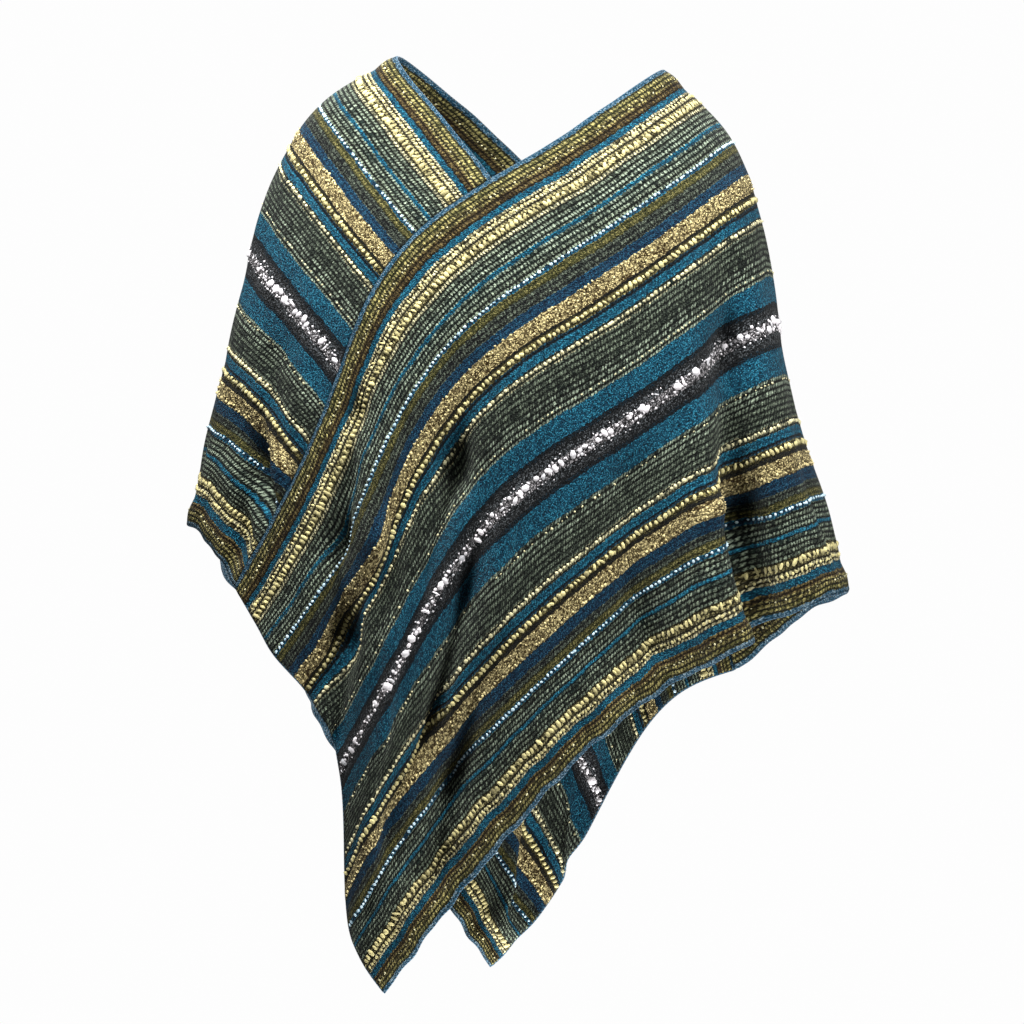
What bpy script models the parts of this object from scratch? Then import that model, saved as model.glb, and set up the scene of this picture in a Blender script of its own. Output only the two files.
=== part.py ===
"""Woven wool poncho made of two straight panels, worn and hanging, at real size.

Each panel is one strip of cloth. Its short end at one side of the neck is sewn to the other panel's
long inner edge, once at the front and once at the back, which leaves a diamond neck opening and a
point at the front and at the back. The origin is the middle of the shoulder line that carries it,
+Z is up and the front faces -Y.
"""
import bpy
import numpy as np

PANEL_WIDTH = 0.490
PANEL_LENGTH = 0.880
CLOTH_WALL = 0.0025
SEAM_GAP = 0.0003
CELLS_ACROSS_WIDTH = 34
CELLS_ALONG_NECK = 27
SEAM_EASE_LENGTH = 0.14
RING_POWER = 2.6

# The hanging form as level rings: how far the cloth reaches from the upright axis on four sides.
# height, left_reach, right_reach, front_reach, back_reach (m)
RINGS = (
    (-0.900, 0.312, 0.314, 0.120, 0.115),
    (-0.750, 0.312, 0.314, 0.130, 0.120),
    (-0.600, 0.312, 0.314, 0.138, 0.124),
    (-0.500, 0.312, 0.314, 0.142, 0.126),
    (-0.400, 0.303, 0.286, 0.144, 0.128),
    (-0.300, 0.279, 0.263, 0.141, 0.130),
    (-0.250, 0.268, 0.250, 0.136, 0.130),
    (-0.200, 0.257, 0.239, 0.127, 0.128),
    (-0.150, 0.243, 0.225, 0.113, 0.120),
    (-0.100, 0.232, 0.213, 0.092, 0.105),
    (-0.060, 0.212, 0.206, 0.070, 0.085),
    (-0.030, 0.174, 0.186, 0.050, 0.060),
    (0.000, 0.125, 0.132, 0.020, 0.025),
    (0.010, 0.109, 0.125, 0.004, 0.004),
)

# Where five lines of weave run on that form. The lines lie at these shares of the panel's width,
# from the inner edge to the outer hem.
LINE_SHARES = (0.0, 0.19, 0.5, 0.81, 1.0)

# A row for each cross section of a panel, from its free short end to its sewn end: the length along
# the panel (m), then for each of the five lines its bearing round the axis (degrees, 0 is the
# front, +90 the wearer's left arm) and its height (m).
# along,  edge_bearing, edge_height,  upper_.., upper_..,  middle_.., middle_..,
# lower_.., lower_..,  hem_bearing, hem_height
LEFT_SECTIONS = (
    (0.00, -70.5, -0.495, -63.5, -0.560, -53.5, -0.670, -53.5, -0.820, -46.5, -0.880),
    (0.11, -61.5, -0.405, -51.5, -0.465, -40.0, -0.575, -39.0, -0.730, -25.5, -0.795),
    (0.22, -54.5, -0.310, -41.0, -0.355, -23.0, -0.480, -14.5, -0.645, 3.0, -0.715),
    (0.33, -48.0, -0.210, -22.5, -0.260, 5.0, -0.400, 16.5, -0.570, 30.0, -0.640),
    (0.44, -31.0, -0.135, 16.0, -0.190, 37.0, -0.340, 42.0, -0.500, 51.5, -0.580),
    (0.53, 7.0, -0.090, 48.0, -0.140, 56.0, -0.290, 58.0, -0.455, 64.5, -0.540),
    (0.62, 58.0, -0.040, 73.0, -0.090, 74.5, -0.250, 72.5, -0.420, 77.5, -0.505),
    (0.70, 91.0, -0.005, 95.5, -0.075, 93.0, -0.250, 88.5, -0.410, 91.5, -0.500),
    (0.79, 126.5, -0.055, 117.5, -0.125, 112.0, -0.280, 105.5, -0.425, 103.5, -0.518),
    (0.88, 156.0, -0.125, 139.5, -0.190, 127.5, -0.335, 119.0, -0.470, 116.5, -0.575),
)
RIGHT_SECTIONS = (
    (0.00, -243.5, -0.575, -233.0, -0.600, -214.5, -0.705, -188.0, -0.820, -168.5, -0.860),
    (0.11, -237.5, -0.470, -224.0, -0.490, -198.5, -0.600, -168.0, -0.735, -148.5, -0.790),
    (0.22, -229.5, -0.370, -211.0, -0.380, -176.0, -0.500, -148.5, -0.650, -133.0, -0.720),
    (0.33, -222.5, -0.265, -190.5, -0.280, -153.0, -0.405, -133.0, -0.570, -123.5, -0.650),
    (0.44, -211.5, -0.170, -162.5, -0.185, -134.0, -0.310, -122.0, -0.485, -116.5, -0.575),
    (0.53, -189.0, -0.100, -137.0, -0.115, -119.5, -0.240, -114.0, -0.420, -110.5, -0.515),
    (0.62, -140.0, -0.035, -111.5, -0.055, -103.5, -0.185, -103.5, -0.370, -103.0, -0.460),
    (0.70, -91.0, 0.008, -86.0, -0.040, -85.0, -0.180, -90.0, -0.345, -92.5, -0.435),
    (0.79, -55.5, -0.040, -62.0, -0.095, -67.5, -0.225, -75.0, -0.360, -80.0, -0.445),
    (0.88, -15.0, -0.110, -38.5, -0.160, -53.0, -0.295, -64.5, -0.420, -71.0, -0.495),
)

# A row for each fold: where it starts and ends on the flat panel, its half width, how far it stands
# out (or in, when negative) at its start and at its end, and how far its crest leans sideways (m).
# start_along, start_across, end_along, end_across, half_width, start_depth, end_depth, lean
LEFT_FOLDS = (
    (0.512, 0.250, 0.503, 0.490, 0.027, 0.004, 0.019, 0.006),
    (0.565, 0.250, 0.558, 0.490, 0.028, -0.005, -0.024, 0.000),
    (0.620, 0.240, 0.610, 0.490, 0.028, 0.002, 0.004, 0.000),
    (0.250, 0.163, -0.020, 0.150, 0.030, -0.006, -0.013, 0.000),
    (0.200, 0.095, -0.020, 0.090, 0.026, 0.003, 0.007, 0.000),
    (0.060, 0.200, 0.060, 0.420, 0.026, 0.004, 0.010, 0.000),
    (0.000, 0.220, -0.010, 0.420, 0.020, -0.006, -0.016, 0.000),
    (0.180, 0.350, 0.040, 0.410, 0.016, -0.002, -0.007, 0.000),
    (0.571, 0.090, 0.604, 0.300, 0.030, 0.003, 0.005, 0.000),
    (0.330, 0.300, 0.300, 0.490, 0.045, 0.000, 0.008, 0.000),
    (0.400, 0.330, 0.400, 0.490, 0.035, 0.000, -0.009, 0.000),
    (0.740, 0.160, 0.735, 0.490, 0.028, 0.000, 0.008, 0.000),
    (0.800, 0.200, 0.800, 0.490, 0.026, 0.000, -0.014, 0.000),
)
RIGHT_FOLDS = (
    (0.790, 0.240, 0.860, 0.470, 0.018, -0.003, -0.012, 0.000),
    (0.830, 0.230, 0.890, 0.440, 0.016, 0.002, 0.008, 0.000),
    (0.745, 0.200, 0.765, 0.490, 0.024, 0.000, 0.006, 0.000),
    (0.640, 0.160, 0.650, 0.490, 0.030, 0.000, -0.016, 0.000),
    (0.550, 0.120, 0.560, 0.490, 0.034, 0.000, 0.022, 0.000),
    (0.470, 0.180, 0.450, 0.490, 0.030, 0.000, -0.020, 0.000),
    (0.392, 0.200, 0.330, 0.490, 0.034, 0.002, 0.024, 0.000),
    (0.300, 0.240, 0.230, 0.490, 0.030, 0.000, -0.020, 0.000),
    (0.240, 0.200, 0.120, 0.490, 0.034, 0.000, 0.016, 0.000),
    (0.160, 0.240, 0.020, 0.430, 0.024, 0.000, -0.022, 0.006),
    (0.110, 0.200, -0.020, 0.350, 0.024, 0.000, 0.012, 0.000),
)


def spline(knots, values, at):
    """Natural cubic spline through values (first axis) at the knots, read at the places in at."""
    knots = np.asarray(knots, float)
    values = np.asarray(values, float)
    flat = values.reshape(len(knots), -1)
    step = np.diff(knots)
    slope = np.diff(flat, axis=0) / step[:, None]
    system = np.eye(len(knots))
    right = np.zeros_like(flat)
    inner = np.arange(1, len(knots) - 1)
    system[inner, inner - 1] = step[:-1]
    system[inner, inner] = 2.0 * (step[:-1] + step[1:])
    system[inner, inner + 1] = step[1:]
    right[1:-1] = 6.0 * np.diff(slope, axis=0)
    bend = np.linalg.solve(system, right)
    at = np.asarray(at, float)
    cell = np.clip(np.searchsorted(knots, at, side="right") - 1, 0, len(step) - 1)
    width = step[cell][:, None]
    low = (at - knots[cell])[:, None]
    high = width - low
    result = (bend[cell] * high ** 3 + bend[cell + 1] * low ** 3) / (6.0 * width)
    result += (flat[cell] / width - bend[cell] * width / 6.0) * high
    result += (flat[cell + 1] / width - bend[cell + 1] * width / 6.0) * low
    return result.reshape((len(at),) + values.shape[1:])


def ring_points(bearing, height):
    """Points of the hanging form at bearings in degrees and heights in metres."""
    heights, left, right, front, back = np.array(RINGS).T
    sine = np.sin(np.radians(bearing))
    cosine = np.cos(np.radians(bearing))
    side_reach = np.where(sine < 0.0, np.interp(height, heights, left), np.interp(height, heights, right))
    depth_reach = np.where(cosine < 0.0, np.interp(height, heights, back),
                           np.interp(height, heights, front))
    stretch = (np.abs(sine) / side_reach) ** RING_POWER + (np.abs(cosine) / depth_reach) ** RING_POWER
    radius = stretch ** (-1.0 / RING_POWER)
    return np.stack((radius * sine, -radius * cosine, height), axis=-1)


def smooth_step(value):
    """Ease from 0 to 1 as value goes from 0 to 1."""
    value = np.clip(value, 0.0, 1.0)
    return value * value * (3.0 - 2.0 * value)


def unit(vectors):
    """Vectors scaled to length 1."""
    return vectors / np.linalg.norm(vectors, axis=-1, keepdims=True)


def cloth_normals(points):
    """Unit normals of a grid of cloth points, facing away from the wearer."""
    return unit(np.cross(np.gradient(points, axis=1), np.gradient(points, axis=0)))


def smooth_panel(sections, along, across):
    """Grid of points of one panel without folds, along by across."""
    table = np.array(sections)
    points = ring_points(table[:, 1::2], table[:, 2::2])
    lines = spline(table[:, 0], points, along)
    return spline(np.array(LINE_SHARES) * PANEL_WIDTH, lines.swapaxes(0, 1), across).swapaxes(0, 1)


def fold_panel(points, folds, along, across):
    """Push the grid out and in along each fold of the table."""
    normals = cloth_normals(points)
    run = unit(np.gradient(points, axis=0))
    fall = unit(np.gradient(points, axis=1))
    moved = points.copy()
    for start_along, start_across, end_along, end_across, half_width, start_depth, end_depth, lean in folds:
        length = np.hypot(end_along - start_along, end_across - start_across)
        way = ((end_along - start_along) / length, (end_across - start_across) / length)
        offset_along = along[:, None] - start_along
        offset_across = across[None, :] - start_across
        travel = (offset_along * way[0] + offset_across * way[1]) / length
        aside = offset_along * way[1] - offset_across * way[0]
        beyond = np.maximum(np.maximum(-travel, travel - 1.0), 0.0) * length
        swell = np.exp(-(aside / half_width) ** 2 - (beyond / half_width) ** 2)
        depth = start_depth + (end_depth - start_depth) * smooth_step(travel)
        moved += (swell * depth)[..., None] * normals
        moved += (swell * lean * smooth_step(travel))[..., None] * (way[1] * run - way[0] * fall)
    return moved


def close_end(points, along, seam):
    """Ease the last stretch of a panel so that its sewn end lies on the seam."""
    ease = smooth_step((along - (PANEL_LENGTH - SEAM_EASE_LENGTH)) / SEAM_EASE_LENGTH)
    return points + ease[:, None, None] * (seam - points[-1])[None]


def sew(edge_points, edge_normals, end_points, end_normals):
    """Give the seam's two sides one shared normal and set them the seam gap apart."""
    seam_cells = CELLS_ACROSS_WIDTH + 1
    shared = unit(edge_normals[:seam_cells, 0] + end_normals[-1, ::-1])
    edge_normals[:seam_cells, 0] = shared
    end_normals[-1] = shared[::-1]
    seam_way = unit(np.gradient(edge_points[:seam_cells, 0], axis=0))
    inward = unit(np.cross(seam_way, shared))
    edge_points[:seam_cells, 0] += inward * SEAM_GAP
    end_points[-1] = (edge_points[:seam_cells, 0] - inward * 2.0 * SEAM_GAP)[::-1]


def panel_grids():
    """Mid-surface points and normals of the left and right panels, sewn to each other."""
    across = np.linspace(0.0, PANEL_WIDTH, CELLS_ACROSS_WIDTH + 1)
    neck = np.linspace(PANEL_WIDTH, PANEL_LENGTH, CELLS_ALONG_NECK + 1)
    along = np.concatenate((across, neck[1:]))
    left = fold_panel(smooth_panel(LEFT_SECTIONS, along, across), LEFT_FOLDS, along, across)
    right = fold_panel(smooth_panel(RIGHT_SECTIONS, along, across), RIGHT_FOLDS, along, across)
    left_edge = left[:len(across), 0].copy()
    right_edge = right[:len(across), 0].copy()
    left = close_end(left, along, right_edge[::-1])
    right = close_end(right, along, left_edge[::-1])
    left_normals = cloth_normals(left)
    right_normals = cloth_normals(right)
    sew(left, left_normals, right, right_normals)
    sew(right, right_normals, left, left_normals)
    return (left, left_normals), (right, right_normals)


def cloth_solid(name, points, normals, material):
    """Close a grid of cloth into a thin solid: an outer face, an inner face and four edges."""
    rows, columns = points.shape[:2]
    outer = points + normals * (CLOTH_WALL / 2.0)
    inner = points - normals * (CLOTH_WALL / 2.0)
    vertices = np.concatenate((outer.reshape(-1, 3), inner.reshape(-1, 3)))
    number = np.arange(rows * columns).reshape(rows, columns)
    corners = np.stack((number[:-1, :-1], number[:-1, 1:], number[1:, 1:], number[1:, :-1]), axis=-1)
    outer_faces = corners.reshape(-1, 4)
    inner_faces = outer_faces[:, ::-1] + rows * columns
    rim = np.concatenate((number[0, :], number[1:, -1], number[-1, -2::-1], number[-2:0:-1, 0]))
    rim_next = np.roll(rim, -1)
    edge_faces = np.stack((rim_next, rim, rim + rows * columns, rim_next + rows * columns), axis=-1)
    faces = np.concatenate((outer_faces, inner_faces, edge_faces))
    mesh = bpy.data.meshes.new(name)
    mesh.from_pydata(vertices.tolist(), [], faces.tolist())
    mesh.materials.append(material)
    mesh.shade_smooth()
    mesh.update()
    panel = bpy.data.objects.new(name, mesh)
    bpy.context.scene.collection.objects.link(panel)
    return panel


def wool(name, colour, roughness):
    """Principled material of a dull woven wool."""
    material = bpy.data.materials.new(name)
    material.use_nodes = True
    shader = material.node_tree.nodes["Principled BSDF"]
    shader.inputs["Base Color"].default_value = (*colour, 1.0)
    shader.inputs["Roughness"].default_value = roughness
    shader.inputs["Metallic"].default_value = 0.0
    return material


def clear_scene():
    """Remove every object of the scene."""
    for item in list(bpy.data.objects):
        bpy.data.objects.remove(item, do_unlink=True)


def main():
    """Build both panels."""
    clear_scene()
    left, right = panel_grids()
    cloth_solid("panel_left_shoulder", *left, wool("wool_left", (0.23, 0.25, 0.20), 0.95))
    cloth_solid("panel_right_shoulder", *right, wool("wool_right", (0.23, 0.25, 0.20), 0.95))


main()
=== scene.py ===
"""Striped wool poncho: the finished look of the two woven panels, with their yarns, edges and studio."""
import logging
from collections.abc import Callable
from dataclasses import dataclass, field, replace
from enum import Enum

import bpy
import numpy as np
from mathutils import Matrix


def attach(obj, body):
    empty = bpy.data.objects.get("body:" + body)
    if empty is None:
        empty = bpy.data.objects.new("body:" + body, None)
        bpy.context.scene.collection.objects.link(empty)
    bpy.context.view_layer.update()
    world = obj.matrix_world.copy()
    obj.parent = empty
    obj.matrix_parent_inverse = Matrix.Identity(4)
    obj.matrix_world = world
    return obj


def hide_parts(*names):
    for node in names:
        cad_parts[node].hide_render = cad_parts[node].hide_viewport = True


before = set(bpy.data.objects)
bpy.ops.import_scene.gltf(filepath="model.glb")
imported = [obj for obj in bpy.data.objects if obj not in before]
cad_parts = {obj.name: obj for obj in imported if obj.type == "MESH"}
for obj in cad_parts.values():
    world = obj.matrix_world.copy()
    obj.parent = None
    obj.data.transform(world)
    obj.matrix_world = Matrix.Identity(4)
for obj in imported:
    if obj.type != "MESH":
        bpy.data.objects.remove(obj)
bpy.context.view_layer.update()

LOG = logging.getLogger("poncho")

PANEL_WIDTH = 0.490
PANEL_LENGTH = 0.880
CLOTH_WALL = 0.0025
SEAM_GAP = 0.0003
SEAM_EASE_LENGTH = 0.14
RING_POWER = 2.6
CELLS_ACROSS = 150
CELLS_ALONG_NECK = 120
CLOTH_UV = "cloth"
TONE = "tone"
FULL_TURN = 6.2832

# The hanging form as level rings: how far the cloth reaches from the upright axis on four sides.
# height, left_reach, right_reach, front_reach, back_reach (m)
RINGS = (
    (-0.900, 0.312, 0.314, 0.120, 0.115),
    (-0.750, 0.312, 0.314, 0.130, 0.120),
    (-0.600, 0.312, 0.314, 0.138, 0.124),
    (-0.500, 0.312, 0.314, 0.142, 0.126),
    (-0.400, 0.303, 0.286, 0.144, 0.128),
    (-0.300, 0.279, 0.263, 0.141, 0.130),
    (-0.250, 0.268, 0.250, 0.136, 0.130),
    (-0.200, 0.257, 0.239, 0.127, 0.128),
    (-0.150, 0.243, 0.225, 0.113, 0.120),
    (-0.100, 0.232, 0.213, 0.092, 0.105),
    (-0.060, 0.212, 0.206, 0.070, 0.085),
    (-0.030, 0.174, 0.186, 0.050, 0.060),
    (0.000, 0.125, 0.132, 0.020, 0.025),
    (0.010, 0.109, 0.125, 0.004, 0.004),
)

# Five lines of weave lie at these shares of the panel's width, from the inner edge to the outer hem.
LINE_SHARES = (0.0, 0.19, 0.5, 0.81, 1.0)

# A row for each cross section of a panel, from its free short end to its sewn end: the length along
# the panel (m), then for each of the five lines its bearing round the axis (degrees, 0 is the
# front, +90 the wearer's left arm) and its height (m).
LEFT_SECTIONS = (
    (0.00, -70.5, -0.495, -63.5, -0.560, -53.5, -0.670, -53.5, -0.820, -46.5, -0.880),
    (0.11, -61.5, -0.405, -51.5, -0.465, -40.0, -0.575, -39.0, -0.730, -25.5, -0.795),
    (0.22, -54.5, -0.310, -41.0, -0.355, -23.0, -0.480, -14.5, -0.645, 3.0, -0.715),
    (0.33, -48.0, -0.210, -22.5, -0.260, 5.0, -0.400, 16.5, -0.570, 30.0, -0.640),
    (0.44, -31.0, -0.135, 16.0, -0.190, 37.0, -0.340, 42.0, -0.500, 51.5, -0.580),
    (0.53, 7.0, -0.090, 48.0, -0.140, 56.0, -0.290, 58.0, -0.455, 64.5, -0.540),
    (0.62, 58.0, -0.040, 73.0, -0.090, 74.5, -0.250, 72.5, -0.420, 77.5, -0.505),
    (0.70, 91.0, -0.005, 95.5, -0.075, 93.0, -0.250, 88.5, -0.410, 91.5, -0.500),
    (0.79, 126.5, -0.055, 117.5, -0.125, 112.0, -0.280, 105.5, -0.425, 103.5, -0.518),
    (0.88, 156.0, -0.125, 139.5, -0.190, 127.5, -0.335, 119.0, -0.470, 116.5, -0.575),
)
RIGHT_SECTIONS = (
    (0.00, -243.5, -0.575, -233.0, -0.600, -214.5, -0.705, -188.0, -0.820, -168.5, -0.860),
    (0.11, -237.5, -0.470, -224.0, -0.490, -198.5, -0.600, -168.0, -0.735, -148.5, -0.790),
    (0.22, -229.5, -0.370, -211.0, -0.380, -176.0, -0.500, -148.5, -0.650, -133.0, -0.720),
    (0.33, -222.5, -0.265, -190.5, -0.280, -153.0, -0.405, -133.0, -0.570, -123.5, -0.650),
    (0.44, -211.5, -0.170, -162.5, -0.185, -134.0, -0.310, -122.0, -0.485, -116.5, -0.575),
    (0.53, -189.0, -0.100, -137.0, -0.115, -119.5, -0.240, -114.0, -0.420, -110.5, -0.515),
    (0.62, -140.0, -0.035, -111.5, -0.055, -103.5, -0.185, -103.5, -0.370, -103.0, -0.460),
    (0.70, -91.0, 0.008, -86.0, -0.040, -85.0, -0.180, -90.0, -0.345, -92.5, -0.435),
    (0.79, -55.5, -0.040, -62.0, -0.095, -67.5, -0.225, -75.0, -0.360, -80.0, -0.445),
    (0.88, -15.0, -0.110, -38.5, -0.160, -53.0, -0.295, -64.5, -0.420, -71.0, -0.495),
)

# A row for each fold: where it starts and ends on the flat panel, its half width, how far it stands
# out (or in, when negative) at its start and at its end, and in some how far its crest leans
# sideways (m).
# start_along, start_across, end_along, end_across, half_width, start_depth, end_depth, lean
LEFT_FOLDS = (
    (0.512, 0.250, 0.503, 0.490, 0.027, 0.004, 0.019, 0.006),
    (0.565, 0.250, 0.558, 0.490, 0.028, -0.005, -0.024),
    (0.620, 0.240, 0.610, 0.490, 0.028, 0.002, 0.004),
    (0.250, 0.163, -0.020, 0.150, 0.030, -0.006, -0.013),
    (0.200, 0.095, -0.020, 0.090, 0.026, 0.003, 0.007),
    (0.060, 0.200, 0.060, 0.420, 0.026, 0.004, 0.010),
    (0.000, 0.220, -0.010, 0.420, 0.020, -0.006, -0.016),
    (0.180, 0.350, 0.040, 0.410, 0.016, -0.002, -0.007),
    (0.571, 0.090, 0.604, 0.300, 0.030, 0.003, 0.005),
    (0.330, 0.300, 0.300, 0.490, 0.045, 0.000, 0.008),
    (0.400, 0.330, 0.400, 0.490, 0.035, 0.000, -0.009),
    (0.740, 0.160, 0.735, 0.490, 0.028, 0.000, 0.008),
    (0.800, 0.200, 0.800, 0.490, 0.026, 0.000, -0.014),
)
RIGHT_FOLDS = (
    (0.790, 0.240, 0.860, 0.470, 0.018, -0.003, -0.012),
    (0.830, 0.230, 0.890, 0.440, 0.016, 0.002, 0.008),
    (0.745, 0.200, 0.765, 0.490, 0.024, 0.000, 0.006),
    (0.640, 0.160, 0.650, 0.490, 0.030, 0.000, -0.016),
    (0.550, 0.120, 0.560, 0.490, 0.034, 0.000, 0.022),
    (0.470, 0.180, 0.450, 0.490, 0.030, 0.000, -0.020),
    (0.392, 0.200, 0.330, 0.490, 0.034, 0.002, 0.024),
    (0.300, 0.240, 0.230, 0.490, 0.030, 0.000, -0.020),
    (0.240, 0.200, 0.120, 0.490, 0.034, 0.000, 0.016),
    (0.160, 0.240, 0.020, 0.430, 0.024, 0.000, -0.022, 0.006),
    (0.110, 0.200, -0.020, 0.350, 0.024, 0.000, 0.012),
)

# Smaller creases that the plain solids leave out, in the folds' own columns.
LEFT_CREASES = (
    (0.518, 0.200, 0.516, 0.360, 0.016, 0.002, 0.010),
    (0.516, 0.360, 0.484, 0.490, 0.016, 0.010, 0.012),
    (0.500, 0.300, 0.460, 0.480, 0.030, 0.002, 0.007),
    (0.580, 0.080, 0.576, 0.240, 0.024, -0.003, -0.014),
    (0.574, 0.240, 0.566, 0.384, 0.020, -0.016, -0.027),
    (0.566, 0.384, 0.544, 0.490, 0.020, -0.027, -0.031),
    (0.262, 0.036, 0.216, 0.041, 0.014, -0.003, -0.008),
    (0.216, 0.041, 0.116, 0.085, 0.018, -0.009, -0.017),
    (0.116, 0.085, 0.062, 0.150, 0.019, -0.017, -0.015),
    (0.062, 0.150, 0.008, 0.210, 0.020, -0.015, -0.013),
    (0.262, 0.088, 0.145, 0.122, 0.016, 0.003, 0.009),
    (0.145, 0.122, 0.080, 0.195, 0.018, 0.009, 0.008),
    (0.325, 0.132, 0.256, 0.180, 0.021, -0.004, -0.017),
    (0.256, 0.180, 0.190, 0.215, 0.021, -0.017, -0.012),
    (0.275, 0.235, 0.232, 0.276, 0.019, -0.004, -0.014),
    (0.232, 0.276, 0.168, 0.332, 0.022, -0.015, -0.018),
    (0.168, 0.332, 0.095, 0.365, 0.022, -0.018, -0.008),
    (0.110, 0.215, 0.085, 0.285, 0.020, 0.006, 0.010),
    (0.310, 0.250, 0.255, 0.320, 0.019, 0.005, 0.008),
    (0.260, 0.340, 0.180, 0.400, 0.022, -0.008, -0.024),
    (0.190, 0.400, 0.120, 0.455, 0.030, -0.024, -0.028),
    (0.634, 0.263, 0.634, 0.490, 0.018, 0.003, 0.007),
    (0.668, 0.300, 0.664, 0.490, 0.014, -0.002, -0.007),
    (0.400, 0.060, 0.330, 0.200, 0.022, 0.001, 0.004),
    (0.440, 0.300, 0.424, 0.450, 0.022, -0.008, -0.018),
    (0.370, 0.380, 0.350, 0.490, 0.020, 0.001, 0.008),
    (0.740, 0.060, 0.730, 0.250, 0.020, 0.001, 0.005),
    (0.775, 0.120, 0.770, 0.300, 0.018, -0.001, -0.005),
)
RIGHT_CREASES = (
    (0.806, 0.330, 0.875, 0.380, 0.011, 0.003, 0.013, 0.004),
    (0.790, 0.365, 0.885, 0.425, 0.014, -0.004, -0.018),
    (0.740, 0.250, 0.800, 0.300, 0.016, -0.001, -0.003),
    (0.690, 0.120, 0.760, 0.200, 0.020, 0.001, 0.002),
    (0.115, 0.290, 0.040, 0.390, 0.026, 0.005, 0.014),
    (0.070, 0.250, 0.010, 0.310, 0.018, -0.004, -0.014),
    (0.190, 0.160, 0.050, 0.230, 0.018, -0.003, -0.014),
    (0.220, 0.100, 0.080, 0.150, 0.020, 0.002, 0.009),
    (0.330, 0.260, 0.240, 0.420, 0.022, -0.002, -0.012),
    (0.420, 0.300, 0.380, 0.480, 0.020, 0.002, 0.009),
)

# Small ripples of the outer hem: waves along the panel, the phase in turns, the height and how far
# the edge runs in and out (m). They set in at the share HEM_START of the width.
# waves_along, phase, height, sway
HEM_RIPPLES = (
    (15.0, 0.20, 0.0010, 0.0010),
    (27.0, 0.55, 0.0006, 0.0006),
)
HEM_START = 0.75

# Raised or sunk bands that run the whole length of a panel: the middle of the band and its half
# width as shares of the panel's width, and how far the outside stands out (m).
# middle_share, half_share, height
BAND_RELIEF = (
    (0.024, 0.019, 0.0042),
    (0.057, 0.009, -0.0012),
    (0.086, 0.016, 0.0012),
    (0.266, 0.015, 0.0012),
    (0.297, 0.006, 0.0008),
    (0.500, 0.016, 0.0016),
    (0.702, 0.006, 0.0008),
    (0.734, 0.015, 0.0012),
    (0.914, 0.018, 0.0012),
    (0.944, 0.008, -0.0010),
    (0.975, 0.017, 0.0032),
)

# Long shallow swells that keep the hanging cloth from lying flat: waves along the panel and across
# it, the phase in turns and the height (m).
# waves_along, waves_across, phase, height
SWELLS = (
    (9.0, 2.3, 0.13, 0.0006),
    (14.0, -3.1, 0.61, 0.0005),
    (5.0, 4.7, 0.37, 0.0007),
    (21.0, 6.3, 0.82, 0.0003),
)


class Side(Enum):
    """The wearer's shoulder that a panel lies over."""

    LEFT = "left"
    RIGHT = "right"


class Yarn(Enum):
    """Colours of the yarns, as they look in even light."""

    BLUE = "104d68"
    ICE = "d4ebf4"
    TEAL = "05425a"
    SEA = "40a0bc"
    NAVY = "0c2a42"
    STEEL = "2f6c88"
    OLIVE = "363818"
    MUSTARD = "b5aa6c"
    RUST = "2c2212"
    AMBER = "88774a"
    BARK = "37321a"
    CREAM = "ebe3b4"
    STRAW = "e0d496"
    GOLD = "3c2d10"
    HONEY = "f4e2a4"
    MOSS = "0f1713"
    SAGE = "9aa890"
    PINE = "10201c"
    MIST = "9dab95"
    COAL = "0e1214"
    ASH = "83888c"
    SNOW = "f6f0f3"

    def colour(self) -> tuple[float, float, float, float]:
        """The yarn's colour in linear light, with full alpha."""
        parts = np.array([int(self.value[k:k + 2], 16) / 255.0 for k in (0, 2, 4)])
        linear = np.where(parts <= 0.04045, parts / 12.92, ((parts + 0.055) / 1.055) ** 2.4)
        return (*(float(part) for part in linear), 1.0)


@dataclass(frozen=True)
class Stripe:
    """One stripe of the weave: where it ends as a share of the width, its two yarns, and how much
    of it is rows of small knots (rows), fine speckle (grain) and coarse curls (curl)."""

    until: float
    ground: Yarn
    fleck: Yarn
    rows: float = 0.0
    grain: float = 0.0
    curl: float = 0.0


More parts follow.
